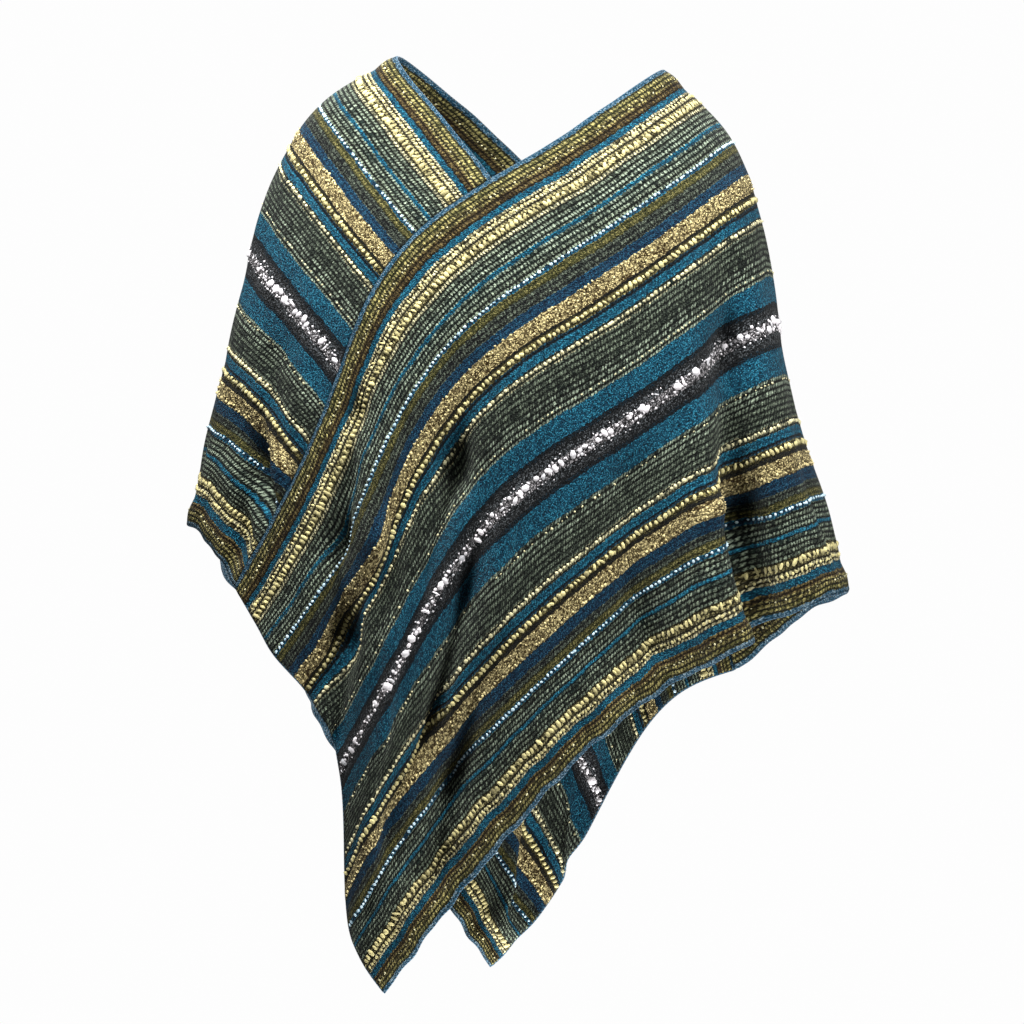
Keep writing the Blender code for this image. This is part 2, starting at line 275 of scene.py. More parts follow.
# Stripes from the inner edge to the middle.
INNER_STRIPES = (
    Stripe(0.007, Yarn.BLUE, Yarn.ICE, 0.0, 0.5),
    Stripe(0.021, Yarn.OLIVE, Yarn.MUSTARD, 0.9, 0.7),
    Stripe(0.034, Yarn.BARK, Yarn.MUSTARD, 0.9, 0.5),
    Stripe(0.049, Yarn.RUST, Yarn.AMBER, 0.7, 0.6),
    Stripe(0.062, Yarn.TEAL, Yarn.SEA, 0.1, 0.8),
    Stripe(0.082, Yarn.BARK, Yarn.CREAM, 1.0, 0.4),
    Stripe(0.101, Yarn.BARK, Yarn.STRAW, 0.7, 0.3),
    Stripe(0.106, Yarn.PINE, Yarn.CREAM, 0.8, 0.5),
    Stripe(0.125, Yarn.MOSS, Yarn.SAGE, 0.8, 0.3),
    Stripe(0.144, Yarn.PINE, Yarn.MIST, 1.0, 0.3),
    Stripe(0.151, Yarn.TEAL, Yarn.SEA, 0.4, 0.6),
    Stripe(0.168, Yarn.PINE, Yarn.MIST, 0.9, 0.3),
    Stripe(0.184, Yarn.MOSS, Yarn.SAGE, 0.8, 0.3),
    Stripe(0.195, Yarn.NAVY, Yarn.SEA, 0.3, 0.3),
    Stripe(0.210, Yarn.OLIVE, Yarn.MUSTARD, 0.3, 0.4),
    Stripe(0.234, Yarn.COAL, Yarn.SAGE, 0.3, 0.3),
    Stripe(0.252, Yarn.NAVY, Yarn.STEEL, 0.2, 0.7),
    Stripe(0.283, Yarn.GOLD, Yarn.HONEY, 0.0, 1.1, 0.55),
    Stripe(0.289, Yarn.COAL, Yarn.BARK, 0.3, 0.5),
    Stripe(0.304, Yarn.BARK, Yarn.MUSTARD, 0.5, 0.2),
    Stripe(0.311, Yarn.COAL, Yarn.STEEL, 0.5, 0.3),
    Stripe(0.326, Yarn.TEAL, Yarn.SEA, 0.2, 0.7),
    Stripe(0.342, Yarn.PINE, Yarn.CREAM, 0.7, 0.2),
    Stripe(0.389, Yarn.MOSS, Yarn.SAGE, 0.5, 0.2),
    Stripe(0.422, Yarn.MOSS, Yarn.MIST, 0.9, 0.3),
    Stripe(0.463, Yarn.TEAL, Yarn.SEA, 0.0, 0.9),
    Stripe(0.471, Yarn.COAL, Yarn.TEAL, 0.0, 0.5),
    Stripe(0.480, Yarn.COAL, Yarn.ASH, 0.0, 0.5),
    Stripe(0.489, Yarn.COAL, Yarn.ASH, 0.0, 1.0),
    Stripe(0.500, Yarn.COAL, Yarn.SNOW, 0.0, 0.9, 0.2),
)

# The outer half repeats the inner stripes in reverse, from the middle to the hem, each with an end
# of its own. It leaves out the thin pale row, and its last stripe has knots too.
PALE_ROW = 7
OUTER_ENDS = (
    0.511, 0.520, 0.529, 0.537, 0.580, 0.611, 0.655, 0.670, 0.686, 0.694,
    0.710, 0.717, 0.750, 0.770, 0.789, 0.803, 0.815, 0.832, 0.848, 0.856,
    0.875, 0.896, 0.916, 0.937, 0.950, 0.963, 0.977, 0.990,
)
OUTER_STRIPES = tuple(
    replace(stripe, until=end)
    for stripe, end in zip(reversed(INNER_STRIPES[1:PALE_ROW] + INNER_STRIPES[PALE_ROW + 1:]), OUTER_ENDS)
) + (Stripe(1.000, Yarn.BLUE, Yarn.ICE, 0.3, 0.5),)


@dataclass(frozen=True)
class KnotRow:
    """A row of raised yarn knots along the panel: its place as a share of the width, the step from
    knot to knot, the knots' half length, half width and half thickness, how uneven they are, the
    share of the steps that carry a knot, and how far they stray sideways in half widths."""

    share: float
    step: float
    half_length: float
    half_width: float
    half_thickness: float
    uneven: float
    filled: float = 1.0
    stray: float = 0.1


STRAW_ROWS = (
    KnotRow(0.073, 0.0042, 0.0017, 0.0024, 0.0028, 0.40, 0.92),
    KnotRow(0.091, 0.0052, 0.0024, 0.0041, 0.0034, 0.30),
    KnotRow(0.297, 0.0049, 0.0024, 0.0032, 0.0030, 0.32),
    KnotRow(0.702, 0.0049, 0.0024, 0.0032, 0.0030, 0.32),
    KnotRow(0.908, 0.0052, 0.0024, 0.0041, 0.0034, 0.30),
    KnotRow(0.927, 0.0042, 0.0017, 0.0024, 0.0028, 0.40, 0.92),
)
CREAM_ROWS = (
    KnotRow(0.030, 0.0046, 0.0015, 0.0015, 0.0036, 0.40, 0.80),
    KnotRow(0.334, 0.0049, 0.0021, 0.0021, 0.0026, 0.40, 0.90),
    KnotRow(0.415, 0.0047, 0.0014, 0.0012, 0.0022, 0.45, 0.55),
    KnotRow(0.590, 0.0047, 0.0014, 0.0012, 0.0022, 0.45, 0.55),
    KnotRow(0.663, 0.0049, 0.0021, 0.0021, 0.0026, 0.40, 0.90),
    KnotRow(0.970, 0.0046, 0.0015, 0.0015, 0.0032, 0.40, 0.80),
)
ICE_ROWS = (
    KnotRow(0.189, 0.0044, 0.0018, 0.0017, 0.0028, 0.30, 0.96),
    KnotRow(0.810, 0.0044, 0.0018, 0.0017, 0.0028, 0.30, 0.96),
)
GOLD_ROWS = (
    KnotRow(0.256, 0.0040, 0.0014, 0.0013, 0.0026, 0.60, 0.80, 0.60),
    *(KnotRow(share, 0.0044, 0.0012, 0.0011, 0.0026, 0.60, 0.60, 0.90)
      for share in (0.262, 0.268, 0.277, 0.723, 0.732, 0.738)),
    KnotRow(0.745, 0.0040, 0.0015, 0.0016, 0.0028, 0.60, 0.85, 0.40),
)
SILVER_ROWS = (
    KnotRow(0.500, 0.0070, 0.0036, 0.0037, 0.0036, 0.80, 0.92, 0.40),
    KnotRow(0.4945, 0.0044, 0.0018, 0.0017, 0.0029, 0.60, 0.60, 0.60),
    KnotRow(0.506, 0.0044, 0.0018, 0.0017, 0.0029, 0.60, 0.60, 0.60),
    KnotRow(0.488, 0.0050, 0.0012, 0.0011, 0.0023, 0.50, 0.50, 1.20),
    KnotRow(0.513, 0.0050, 0.0012, 0.0011, 0.0023, 0.50, 0.50, 1.20),
)


def unit(vectors: np.ndarray) -> np.ndarray:
    """Scale vectors to length 1."""
    return vectors / np.linalg.norm(vectors, axis=-1, keepdims=True)


def smooth_step(value: np.ndarray) -> np.ndarray:
    """Ease from 0 to 1 as value goes from 0 to 1: three times its square less twice its cube."""
    value = np.clip(value, 0.0, 1.0)
    return value * value * (3.0 - 2.0 * value)


def spline(knots: np.ndarray, values: np.ndarray, at: np.ndarray) -> np.ndarray:
    """Read a natural cubic spline.

    Each cell between two knots is a cubic whose second derivatives at its ends solve the usual
    three-band system, so slope and bend run on smoothly from cell to cell.

    Args:
        knots: Rising places along the line.
        values: Values at the knots, knots first.
        at: Places to read.

    Returns:
        The values there, places first.
    """
    flat = values.reshape(len(knots), -1)
    step = np.diff(knots)
    slope = np.diff(flat, axis=0) / step[:, None]
    system = np.eye(len(knots))
    right = np.zeros_like(flat)
    inner = np.arange(1, len(knots) - 1)
    system[inner, inner - 1] = step[:-1]
    system[inner, inner] = 2.0 * (step[:-1] + step[1:])
    system[inner, inner + 1] = step[1:]
    right[1:-1] = 6.0 * np.diff(slope, axis=0)
    bend = np.linalg.solve(system, right)
    cell = np.clip(np.searchsorted(knots, at, side="right") - 1, 0, len(step) - 1)
    width = step[cell][:, None]
    low = (at - knots[cell])[:, None]
    high = width - low
    result = (bend[cell] * high ** 3 + bend[cell + 1] * low ** 3) / (6.0 * width)
    result += (flat[cell] / width - bend[cell] * width / 6.0) * high
    result += (flat[cell + 1] / width - bend[cell + 1] * width / 6.0) * low
    return result.reshape((len(at),) + values.shape[1:])


def ring_points(bearing: np.ndarray, height: np.ndarray) -> np.ndarray:
    """Points of the hanging form.

    At each height the form is a level ring: a rounded oval in four quarters, in which the side and
    depth shares of the reach, each raised to RING_POWER, add up to one.

    Args:
        bearing: Degrees round the upright axis, 0 at the front.
        height: Height in metres.

    Returns:
        Points with x, y and z last.
    """
    heights, left, right, front, back = np.array(RINGS).T
    sine, cosine = np.sin(np.radians(bearing)), np.cos(np.radians(bearing))
    side = np.where(sine < 0.0, np.interp(height, heights, left), np.interp(height, heights, right))
    depth = np.where(cosine < 0.0, np.interp(height, heights, back), np.interp(height, heights, front))
    stretch = (np.abs(sine) / side) ** RING_POWER + (np.abs(cosine) / depth) ** RING_POWER
    radius = stretch ** (-1.0 / RING_POWER)
    return np.stack((radius * sine, -radius * cosine, height), axis=-1)


def cloth_normals(points: np.ndarray) -> np.ndarray:
    """Unit normals of a grid of cloth points, facing away from the wearer."""
    return unit(np.cross(np.gradient(points, axis=1), np.gradient(points, axis=0)))


@dataclass
class ClothGrid:
    """A panel's middle surface on a grid of places along and across the flat cloth."""

    along: np.ndarray
    across: np.ndarray
    points: np.ndarray
    normals: np.ndarray = field(init=False)

    def __post_init__(self) -> None:
        """Work out the normals once the points are known."""
        self.normals = cloth_normals(self.points)

    def fold(self, folds: tuple) -> None:
        """Push the cloth out and in along each fold.

        Across a fold the push is a bell curve, one half width to its shoulder. Along it the depth
        eases from the start's to the end's, and the lean carries the crest sideways in the cloth.

        Args:
            folds: Rows of the fold table.
        """
        run = unit(np.gradient(self.points, axis=0))
        fall = unit(np.gradient(self.points, axis=1))
        moved = self.points.copy()
        for start_s, start_t, end_s, end_t, half_width, start_depth, end_depth, *lean in folds:
            length = np.hypot(end_s - start_s, end_t - start_t)
            way = ((end_s - start_s) / length, (end_t - start_t) / length)
            offset_s = self.along[:, None] - start_s
            offset_t = self.across[None, :] - start_t
            travel = (offset_s * way[0] + offset_t * way[1]) / length
            aside = offset_s * way[1] - offset_t * way[0]
            beyond = np.maximum(np.maximum(-travel, travel - 1.0), 0.0) * length
            swell = np.exp(-(aside / half_width) ** 2 - (beyond / half_width) ** 2)
            depth = start_depth + (end_depth - start_depth) * smooth_step(travel)
            moved += (swell * depth)[..., None] * self.normals
            sideways = way[1] * run - way[0] * fall
            moved += (swell * sum(lean) * smooth_step(travel))[..., None] * sideways
        self.points = moved

    def swell(self) -> None:
        """Add the shallow swells, sine waves that cross at a slant, and the hem's ripples."""
        u = self.along[:, None] / PANEL_LENGTH
        v = self.across[None, :] / PANEL_WIDTH
        height = sum(size * np.sin(2.0 * np.pi * (a * u + b * v + phase)) for a, b, phase, size in SWELLS)
        ease = smooth_step((v - HEM_START) / (1.0 - HEM_START))
        fall = unit(np.gradient(self.points, axis=1))
        moved = self.points + height[..., None] * self.normals
        for waves, phase, size, sway in HEM_RIPPLES:
            turn = 2.0 * np.pi * (waves * u + phase)
            moved += (size * np.sin(turn) * ease)[..., None] * self.normals
            moved += (sway * np.cos(turn) * ease)[..., None] * fall
        self.points = moved

    def close_end(self, seam: np.ndarray) -> None:
        """Ease the last stretch of the panel onto the seam line."""
        ease = smooth_step((self.along - (PANEL_LENGTH - SEAM_EASE_LENGTH)) / SEAM_EASE_LENGTH)
        self.points = self.points + ease[:, None, None] * (seam - self.points[-1])[None]

    def place(self, along: np.ndarray, across: np.ndarray) -> tuple[np.ndarray, ...]:
        """Read the surface between the grid's lines.

        The four grid points round each place are mixed by how near they are.

        Args:
            along: Places along the panel (m).
            across: Places across the panel (m).

        Returns:
            Points, unit directions along the panel, unit directions across it and normals.
        """
        row = np.interp(along, self.along, np.arange(len(self.along)))
        column = np.interp(across, self.across, np.arange(len(self.across)))
        i = np.minimum(row.astype(int), len(self.along) - 2)
        j = np.minimum(column.astype(int), len(self.across) - 2)
        a, b = (row - i)[:, None], (column - j)[:, None]
        mixed = []
        for grid in (self.points, self.normals):
            near = grid[i, j] * (1.0 - b) + grid[i, j + 1] * b
            far = grid[i + 1, j] * (1.0 - b) + grid[i + 1, j + 1] * b
            mixed.append(near * (1.0 - a) + far * a)
        normal = unit(mixed[1])
        way = self.points[i + 1, j] - self.points[i, j]
        run = unit(way - (way * normal).sum(axis=-1, keepdims=True) * normal)
        return mixed[0], run, np.cross(run, normal), normal


def smooth_grid(sections: tuple, along: np.ndarray, across: np.ndarray) -> ClothGrid:
    """Lay a panel on the hanging form: splines along its five lines, then splines across them."""
    table = np.array(sections)
    points = ring_points(table[:, 1::2], table[:, 2::2])
    lines = spline(table[:, 0], points, along)
    shares = np.array(LINE_SHARES) * PANEL_WIDTH
    return ClothGrid(along, across, spline(shares, lines.swapaxes(0, 1), across).swapaxes(0, 1))


def sew(edge: ClothGrid, end: ClothGrid) -> None:
    """Give the seam's two sides one shared normal and set them the seam gap apart.

    Args:
        edge: Panel whose inner edge takes the seam.
        end: Panel whose short end is sewn to it.
    """
    count = CELLS_ACROSS + 1
    shared = unit(edge.normals[:count, 0] + end.normals[-1, ::-1])
    edge.normals[:count, 0] = shared
    end.normals[-1] = shared[::-1]
    inward = unit(np.cross(unit(np.gradient(edge.points[:count, 0], axis=0)), shared))
    edge.points[:count, 0] += inward * SEAM_GAP
    end.points[-1] = (edge.points[:count, 0] - inward * 2.0 * SEAM_GAP)[::-1]


def hang_panels() -> tuple[ClothGrid, ClothGrid]:
    """Hang both panels and sew each one's end to the other's inner edge."""
    across = np.linspace(0.0, PANEL_WIDTH, CELLS_ACROSS + 1)
    neck = np.linspace(PANEL_WIDTH, PANEL_LENGTH, CELLS_ALONG_NECK + 1)
    along = np.concatenate((across, neck[1:]))
    left = smooth_grid(LEFT_SECTIONS, along, across)
    right = smooth_grid(RIGHT_SECTIONS, along, across)
    for grid, folds, creases in ((left, LEFT_FOLDS, LEFT_CREASES), (right, RIGHT_FOLDS, RIGHT_CREASES)):
        grid.fold(folds)
        grid.normals = cloth_normals(grid.points)
        grid.fold(creases)
        grid.normals = cloth_normals(grid.points)
        grid.swell()
    left_edge = left.points[:len(across), 0].copy()
    right_edge = right.points[:len(across), 0].copy()
    left.close_end(right_edge[::-1])
    right.close_end(left_edge[::-1])
    for grid in (left, right):
        grid.normals = cloth_normals(grid.points)
    sew(left, right)
    sew(right, left)
    return left, right


def add_mesh(name: str, vertices: np.ndarray, faces: list, material: bpy.types.Material) -> bpy.types.Object:
    """Make a smooth-shaded mesh object at the origin.

    Args:
        name: Name of the object and its mesh.
        vertices: Points, one a row.
        faces: Corner numbers of each face.
        material: Its one material.

    Returns:
        The new object, linked to the scene.
    """
    mesh = bpy.data.meshes.new(name)
    mesh.from_pydata(vertices.tolist(), [], faces)
    mesh.materials.append(material)
    mesh.shade_smooth()
    mesh.update()
    piece = bpy.data.objects.new(name, mesh)
    bpy.context.scene.collection.objects.link(piece)
    return piece


def set_uv(piece: bpy.types.Object, places: np.ndarray) -> None:
    """Store flat places in metres as the piece's UV map, one for each vertex."""
    layer = piece.data.uv_layers.new(name=CLOTH_UV)
    corners = np.empty(len(piece.data.loops), dtype=np.int32)
    piece.data.loops.foreach_get("vertex_index", corners)
    layer.data.foreach_set("uv", places[corners].astype(np.float32).ravel())


class Value:
    """One number of a material's graph, with Python's arithmetic on it."""

    def __init__(self, graph: "Graph", socket: bpy.types.NodeSocket) -> None:
        """Hold a socket and the graph it belongs to."""
        self.graph = graph
        self.socket = socket

    def math(self, operation: str, *others: "Value | float",
             first: "Value | float | None" = None) -> "Value":
        """Run a Math node.

        Args:
            operation: The node's operation.
            others: What follows this value.
            first: A value to put before this one, for the reflected forms.

        Returns:
            The node's result.
        """
        terms = [self, *others] if first is None else [first, self]
        made = self.graph.node("ShaderNodeMath", {"operation": operation}, dict(enumerate(terms)))
        return Value(self.graph, made.outputs[0])

    def __add__(self, other: "Value | float") -> "Value":
        """Add."""
        return self.math("ADD", other)

    __radd__ = __add__

    def __mul__(self, other: "Value | float") -> "Value":
        """Multiply."""
        return self.math("MULTIPLY", other)

    __rmul__ = __mul__

    def __sub__(self, other: "Value | float") -> "Value":
        """Subtract."""
        return self.math("SUBTRACT", other)

    def __rsub__(self, other: float) -> "Value":
        """Subtract this value from a number."""
        return self.math("SUBTRACT", first=other)

    def __truediv__(self, other: "Value | float") -> "Value":
        """Divide."""
        return self.math("DIVIDE", other)

    def floor(self) -> "Value":
        """Round down."""
        return self.math("FLOOR")

    def fraction(self) -> "Value":
        """Keep the part after the point."""
        return self.math("FRACT")

    def sine(self) -> "Value":
        """Sine of an angle in radians."""
        return self.math("SINE")

    def clamp(self) -> "Value":
        """Keep between 0 and 1."""
        return self.math("MAXIMUM", 0.0).math("MINIMUM", 1.0)

    def above(self, limit: "Value | float") -> "Value":
        """Give 1 where this is greater than the limit, else 0."""
        return self.math("GREATER_THAN", limit)

    def power(self, exponent: float) -> "Value":
        """Raise to a power."""
        return self.math("POWER", exponent)


class Graph:
    """A material's node tree with one way to add a node."""

    def __init__(self, name: str) -> None:
        """Start a material that holds its Principled shader and output."""
        self.material = bpy.data.materials.new(name)
        self.material.use_nodes = True
        self.tree = self.material.node_tree
        self.shader = self.tree.nodes["Principled BSDF"]

    def node(self, kind: str, settings: dict, inputs: dict) -> bpy.types.Node:
        """Add a node.

        Args:
            kind: Blender's type name of the node.
            settings: Its properties, set first; "stops" holds a ramp's stops.
            inputs: Values or links of its sockets, by name or number.

        Returns:
            The new node.
        """
        made = self.tree.nodes.new(kind)
        for name, value in settings.items():
            if name == "stops":
                self.fill_ramp(made.color_ramp, value)
            else:
                setattr(made, name, value)
        for key, value in inputs.items():
            self.feed(made.inputs[key], value)
        return made

    def feed(self, socket: bpy.types.NodeSocket, value: object) -> None:
        """Link a value or a socket, or set a plain number, vector or colour."""
        if isinstance(value, Value):
            self.tree.links.new(value.socket, socket)
        elif isinstance(value, bpy.types.NodeSocket):
            self.tree.links.new(value, socket)
        else:
            socket.default_value = value

    @staticmethod
    def fill_ramp(ramp: bpy.types.ColorRamp, stops: list) -> None:
        """Give a ramp hard steps at the places and colours of stops."""
        ramp.interpolation = "CONSTANT"
        for place, colour in stops[1:-1]:
            ramp.elements.new(place).color = colour
        ramp.elements[0].position, ramp.elements[0].color = stops[0]
        ramp.elements[-1].position, ramp.elements[-1].color = stops[-1]

    def mix(self, factor: "Value | float", low: object, high: object,
            blend: str = "MIX") -> bpy.types.NodeSocket:
        """Mix two colours.

        Args:
            factor: How much of the second.
            low: The first colour or its socket.
            high: The second colour or its socket.
            blend: The way they are combined.

        Returns:
            The mixed colour's socket.
        """
        made = self.node("ShaderNodeMix", {"data_type": "RGBA", "blend_type": blend},
                         {0: factor, 6: low, 7: high})
        return made.outputs[2]

    def darken(self, colour: bpy.types.NodeSocket, shade: Value) -> bpy.types.NodeSocket:
        """Multiply a colour by a shade between 0 and 1."""
        return self.mix(1.0, colour, self.vector(shade, shade, shade), "MULTIPLY")

    def flat_place(self) -> tuple[Value, Value]:
        """The place on the flat cloth in metres: along the panel and across it."""
        place = self.node("ShaderNodeUVMap", {"uv_map": CLOTH_UV}, {})
        parts = self.node("ShaderNodeSeparateXYZ", {}, {0: place.outputs[0]})
        return Value(self, parts.outputs[0]), Value(self, parts.outputs[1])

    def vector(self, x: "Value | float", y: "Value | float",
               z: "Value | float" = 0.0) -> bpy.types.NodeSocket:
        """Join three numbers into a vector."""
        return self.node("ShaderNodeCombineXYZ", {}, {0: x, 1: y, 2: z}).outputs[0]

    def noise(self, vector: bpy.types.NodeSocket, scale: float, detail: float = 2.0) -> Value:
        """Smooth noise from 0 to 1 at a scale in waves for each unit of the vector."""
        made = self.node("ShaderNodeTexNoise", {}, {"Vector": vector, "Scale": scale, "Detail": detail})
        return Value(self, made.outputs[0])

    def chance(self, vector: bpy.types.NodeSocket) -> Value:
        """An even random number for each different vector."""
        return Value(self, self.node("ShaderNodeTexWhiteNoise", {}, {"Vector": vector}).outputs[0])

    def speckle(self, vector: bpy.types.NodeSocket, scale: float) -> tuple[Value, Value]:
        """Small grains: how near a place is to its grain's middle, and the grain's random number."""
        made = self.node("ShaderNodeTexVoronoi", {}, {"Vector": vector, "Scale": scale})
        split = self.node("ShaderNodeSeparateColor", {}, {0: made.outputs["Color"]})
        return (1.0 - Value(self, made.outputs["Distance"])).clamp(), Value(self, split.outputs[0])

    def surface(self, roughness: float, sheen: float, gloss: float) -> None:
        """Set how rough, how downy and how glossy the shader is."""
        self.shader.inputs["Roughness"].default_value = roughness
        self.shader.inputs["Sheen Weight"].default_value = sheen
        self.shader.inputs["Specular IOR Level"].default_value = gloss

    def finish(self, colour: bpy.types.NodeSocket, height: Value, depth: float, strength: float) -> None:
        """Feed the shader's colour, and its normal from a height between 0 and 1.

        Args:
            colour: Base colour.
            height: Height of the surface's detail.
            depth: What a height of 1 stands for (m).
            strength: Strength of the bump.
        """
        bump = self.node("ShaderNodeBump", {}, {"Height": height, "Distance": depth, "Strength": strength})
        self.feed(self.shader.inputs["Base Color"], colour)
        self.feed(self.shader.inputs["Normal"], bump.outputs[0])


@dataclass(frozen=True)
class WovenWool:
    """Finish of the woven cloth: stripes across the panel, rows of small knots, fine speckle and
    coarse curls, with shade painted into the gaps between them."""

    row_pitch: float = 0.0049
    knot_pitch: float = 0.0034
    slant: float = 0.3
    grain_scale: float = 800.0
    curl_scale: float = 400.0
    wander: float = 0.0036
    wander_scale: float = 22.0
    ragged: float = 0.0034
    ragged_scale: float = 300.0
    jitter: float = 0.9
    jitter_scale: float = 520.0
    creep: float = 2.6
    creep_scale: float = 60.0
    streak_scale: tuple[float, float] = (14.0, 330.0)
    patch_scale: float = 9.0
    # The darkest painted shade, at the bottom of the gaps between knots and grains.
    deepest_painted_shade: float = 0.09
    bump_depth: float = 0.0020
    bump_strength: float = 1.0
    roughness: float = 0.92
    sheen: float = 0.04
    gloss: float = 0.1

    @staticmethod
    def stops(stripes: tuple, start: float, pick: Callable[[Stripe], tuple]) -> list:
        """Ramp stops of some stripes, from the value that pick takes of each."""
        starts = [start] + [stripe.until for stripe in stripes[:-1]]
        return [(place, pick(stripe)) for place, stripe in zip(starts, stripes)]

    def chart(self, graph: Graph, share: Value, pick: Callable[[Stripe], tuple]) -> bpy.types.NodeSocket:
        """Read one colour of the stripes at a share of the width.

        Args:
            graph: Where the nodes go.
            share: The share of the width.
            pick: Takes the colour from a stripe.

        Returns:
            The colour's socket.
        """
        halves = []
        for stripes, start in ((INNER_STRIPES, 0.0), (OUTER_STRIPES, 0.5)):
            ramp = graph.node("ShaderNodeValToRGB", {"stops": self.stops(stripes, start, pick)}, {0: share})
            halves.append(ramp.outputs[0])
        return graph.mix(share.above(0.5), halves[0], halves[1])

    def make(self, name: str, seed: float) -> bpy.types.Material:
        """Build the material.

        Knots are slanting domes in cells one row pitch by one knot pitch, each row set off from the
        last and each knot with its own brightness. Speckle and curls are fine and coarse cell
        patterns. What stands up shows the stripe's fleck yarn and the rest its ground yarn. Shade is
        painted into the gaps between, darker the deeper they lie, and times a random tone of the yarn.

        Args:
            name: Name of the material.
            seed: Shifts the random patterns, so that the two panels differ.

        Returns:
            The material.
        """
        graph = Graph(name)
        along, across = graph.flat_place()
        place = graph.vector(along, across, seed)
        woven = across + (graph.noise(place, self.wander_scale) - 0.5) * self.wander
        frayed = woven + (graph.noise(place, self.ragged_scale, 1.0) - 0.5) * self.ragged
        share = frayed / PANEL_WIDTH
        ground = self.chart(graph, share, lambda stripe: stripe.ground.colour())
        fleck = self.chart(graph, share, lambda stripe: stripe.fleck.colour())
        weights = graph.node("ShaderNodeSeparateColor", {}, {0: self.chart(
            graph, share, lambda stripe: (stripe.rows, stripe.grain, stripe.curl, 1.0))})
        rows, grain, curl = (Value(graph, weights.outputs[channel]) for channel in range(3))
        jitter = (graph.noise(place, self.jitter_scale, 1.0) - 0.5) * self.jitter
        line = woven / self.row_pitch + jitter * 0.3
        number = line.floor()
        side = (line.fraction() - 0.5) * 2.0
        shift = graph.chance(graph.vector(number, seed))
        row_luck = graph.chance(graph.vector(number, seed, 5.0))
        creep = graph.noise(graph.vector(along, number * 0.37, seed), self.creep_scale) * self.creep
        step = along / self.knot_pitch + shift * 7.0 + creep + side * self.slant + jitter
        middle = (step.fraction() - 0.5) * 2.0
        dome = (1.0 - side * side * 1.1 - middle * middle).clamp()
        luck = graph.chance(graph.vector(number, step.floor(), seed))
        fine, fine_luck = graph.speckle(place, self.grain_scale)
        coarse, coarse_luck = graph.speckle(place, self.curl_scale)
        long_scale, short_scale = self.streak_scale
        streak = graph.noise(graph.vector(along * long_scale, across * short_scale, seed), 1.0, 1.0)
        patch = graph.noise(place, self.patch_scale)
        knot = dome.power(1.6) * (luck * 1.2 + row_luck * 0.5 - 0.2).clamp() * rows * (fine * 1.4 + 0.2)
        speck = fine.power(1.8) * (fine_luck * 2.2 - 0.75).clamp() * grain
        loop = coarse.power(1.5) * (coarse_luck * 1.9 - 0.55).clamp() * curl
        shown = (knot * 1.2 + speck + loop * 1.1).clamp()
        furrow = 1.0 - side.power(4.0) * rows
        relief = (dome * rows + coarse * curl * 0.9 + fine * (1.0 - rows * 0.75)).clamp() * furrow
        # Painted shade in the gaps: where the knots, grains and curls lie low the colour is darkened, down
        # to the gap shade at the bottom. The next line multiplies in the yarn's random tone from grains,
        # streaks and patches.
        painted_shade_in_gaps = (relief * 1.5).clamp() * (1.0 - self.deepest_painted_shade) + self.deepest_painted_shade
        shade = painted_shade_in_gaps * (0.75 + fine_luck * 0.4) * (0.75 + streak * 0.35) * (0.84 + patch * 0.32)
        colour = graph.darken(graph.mix(shown, ground, fleck), shade)
        height = relief * 0.8 + fine * 0.2
        graph.finish(colour, height, self.bump_depth, self.bump_strength)
        graph.surface(self.roughness, self.sheen, self.gloss)
        return graph.material


@dataclass(frozen=True)
class KnotWool:
    """Finish of raised knots of yarn: one colour that each knot has a little lighter or darker."""

    yarn: Yarn
    shadow: Yarn
    tone_share: float = 0.8
    grain_share: float = 0.6
    grain_scale: float = 900.0
    fibre_scale: float = 1400.0
    roughness: float = 0.85
    sheen: float = 0.2
    gloss: float = 0.3
    bump_depth: float = 0.0006
    bump_strength: float = 0.7

    def make(self, name: str) -> bpy.types.Material:
        """Build the material: the knot's stored tone mixes its two yarns, with fine fibre bumps."""
        graph = Graph(name)
        tone = graph.node("ShaderNodeAttribute", {"attribute_name": TONE}, {})
        place = graph.node("ShaderNodeTexCoord", {}, {}).outputs["Object"]
        near, luck = graph.speckle(place, self.grain_scale)
        fibre = graph.noise(place, self.fibre_scale)
        stored = Value(graph, tone.outputs["Fac"])
        light = (stored * self.tone_share + luck * (1.0 - self.tone_share)).clamp()
        colour = graph.mix(light, self.shadow.colour(), self.yarn.colour())
        height = near * self.grain_share + fibre * (1.0 - self.grain_share)
        graph.finish(colour, height, self.bump_depth, self.bump_strength)
        graph.surface(self.roughness, self.sheen, self.gloss)
        return graph.material


@dataclass(frozen=True)
class EdgeYarn:
    """Finish of the yarn that binds the edges: slanting twists of blue with pale flecks, and shade
    painted into the grooves between the twists.
    """

    twist_pitch: float = 0.0042
    twist_slant: float = 2.0
    # The darkest painted shade, at the bottom of the grooves between the twists.
    deepest_painted_shade: float = 0.3
    ground: Yarn = Yarn.BLUE
    fleck: Yarn = Yarn.STEEL
    roughness: float = 0.9
    sheen: float = 0.2
    gloss: float = 0.5
    bump_depth: float = 0.0008
    bump_strength: float = 0.8

    def make(self, name: str) -> bpy.types.Material:
        """Build the material: a sine along the yarn that slants round it gives the twists, and shade is
        painted into the grooves between them.
        """
        graph = Graph(name)
        along, around = graph.flat_place()
        turn = (along / self.twist_pitch + around * self.twist_slant) * FULL_TURN
        twist = turn.sine() * 0.5 + 0.5
        luck = graph.chance(graph.vector((turn / FULL_TURN).floor(), 1.0))
        shown = (twist.power(2.0) * (luck * 1.3 - 0.55).clamp()).clamp()
        # Painted shade: the colour darkens from the twists' crests into the grooves between them, down to
        # the gap shade.
        shade = self.deepest_painted_shade + twist * (1.0 - self.deepest_painted_shade)
        colour = graph.darken(graph.mix(shown, self.ground.colour(), self.fleck.colour()), shade)
        graph.finish(colour, twist, self.bump_depth, self.bump_strength)
        graph.surface(self.roughness, self.sheen, self.gloss)
        return graph.material


